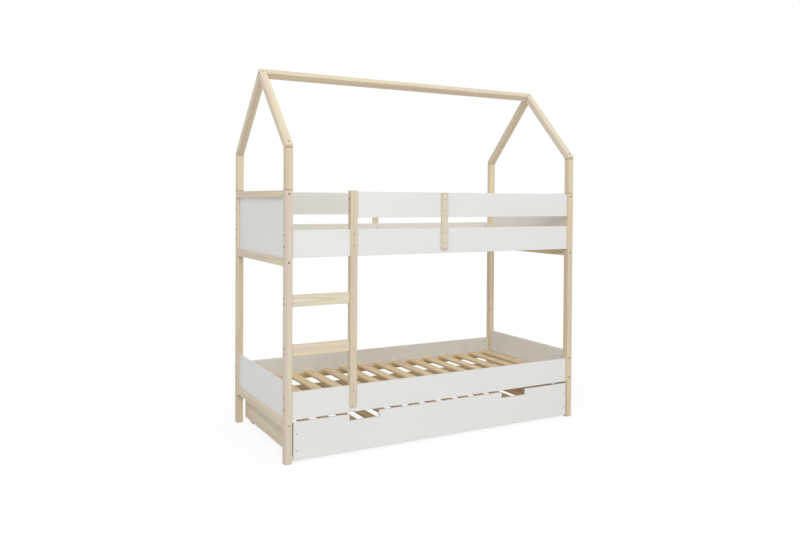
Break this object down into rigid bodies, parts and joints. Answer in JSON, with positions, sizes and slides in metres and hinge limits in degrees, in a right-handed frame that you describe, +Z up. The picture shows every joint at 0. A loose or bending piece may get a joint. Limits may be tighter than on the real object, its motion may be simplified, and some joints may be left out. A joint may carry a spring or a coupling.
{
  "type": "bunk bed",
  "caption": "House-frame bunk bed in pine and white boards: slatted upper and lower bunks, a ladder at one end, a gabled roof frame and a low trundle that rolls out on castors.",
  "frame": {"origin": "on the floor, under the middle of the bed", "axes": "+X along the bed from the ladder end to the other end, +Y from the open front to the back, +Z up"},
  "size_m": [2.08, 0.9916, 2.2908],
  "materials": {
    "pine": "clear matt lacquer on planed pine",
    "pine_slat": "planed pine, bare",
    "white_board": "satin white lacquer",
    "white_panel": "satin white lacquer",
    "castor_plastic": "moulded",
    "wheel_plastic": "moulded"
  },
  "bodies": {
    "bed": {"lower_post_front_left": "pine", "lower_post_front_right": "pine", "lower_post_back_left": "pine", "lower_post_back_right": "pine", "upper_post_front_left": "pine", "upper_post_front_right": "pine", "upper_post_back_left": "pine", "upper_post_back_right": "pine", "rafter_front_left": "pine", "rafter_front_right": "pine", "rafter_back_left": "pine", "rafter_back_right": "pine", "ridge": "pine", "guard_board_front": "white_board", "guard_board_back": "white_board", "upper_side_board_front": "white_board", "upper_side_board_back": "white_board", "lower_side_board_front": "white_board", "lower_side_board_back": "white_board", "batten_front": "pine", "batten_back": "pine", "upper_end_top_rail_left": "pine", "upper_end_top_rail_right": "pine", "upper_end_bottom_rail_left": "pine", "upper_end_bottom_rail_right": "pine", "upper_end_panel_left": "white_panel", "upper_end_panel_right": "white_panel", "lower_end_bottom_rail_left": "pine", "lower_end_panel_left": "white_panel", "lower_end_board_right": "white_board", "ladder_stringer": "pine", "ladder_rung_lower": "pine", "ladder_rung_upper": "pine", "upper_slatted_base": "pine_slat", "lower_slatted_base": "pine_slat"},
    "trundle": {"trundle_front": "white_board", "trundle_side_left": "pine", "trundle_side_right": "pine", "trundle_back": "pine", "trundle_slatted_base": "pine_slat", "castor_holder_front_left": "castor_plastic", "castor_holder_front_right": "castor_plastic", "castor_holder_back_left": "castor_plastic", "castor_holder_back_right": "castor_plastic"},
    "wheel_front_left": {"castor_wheel_front_left": "wheel_plastic"},
    "wheel_front_right": {"castor_wheel_front_right": "wheel_plastic"},
    "wheel_back_left": {"castor_wheel_back_left": "wheel_plastic"},
    "wheel_back_right": {"castor_wheel_back_right": "wheel_plastic"}
  },
  "joints": [
    {"name": "trundle_slide", "type": "slide", "parent": "bed", "child": "trundle", "axis": [0, -1, 0], "range_m": [0, 0.9]},
    {"name": "wheel_front_left_spin", "type": "hinge", "parent": "trundle", "child": "wheel_front_left", "pos_m": [-0.9467, -0.412, 0.025], "axis": [1, 0, 0], "continuous": true},
    {"name": "wheel_front_right_spin", "type": "hinge", "parent": "trundle", "child": "wheel_front_right", "pos_m": [0.9467, -0.412, 0.025], "axis": [1, 0, 0], "continuous": true},
    {"name": "wheel_back_left_spin", "type": "hinge", "parent": "trundle", "child": "wheel_back_left", "pos_m": [-0.9467, 0.375, 0.025], "axis": [1, 0, 0], "continuous": true},
    {"name": "wheel_back_right_spin", "type": "hinge", "parent": "trundle", "child": "wheel_back_right", "pos_m": [0.9467, 0.375, 0.025], "axis": [1, 0, 0], "continuous": true}
  ],
  "couplings": [
    {"joint": "wheel_front_left_spin", "follows": "trundle_slide", "rad_per_m": 40},
    {"joint": "wheel_front_right_spin", "follows": "trundle_slide", "rad_per_m": 40},
    {"joint": "wheel_back_left_spin", "follows": "trundle_slide", "rad_per_m": 40},
    {"joint": "wheel_back_right_spin", "follows": "trundle_slide", "rad_per_m": 40}
  ]
}
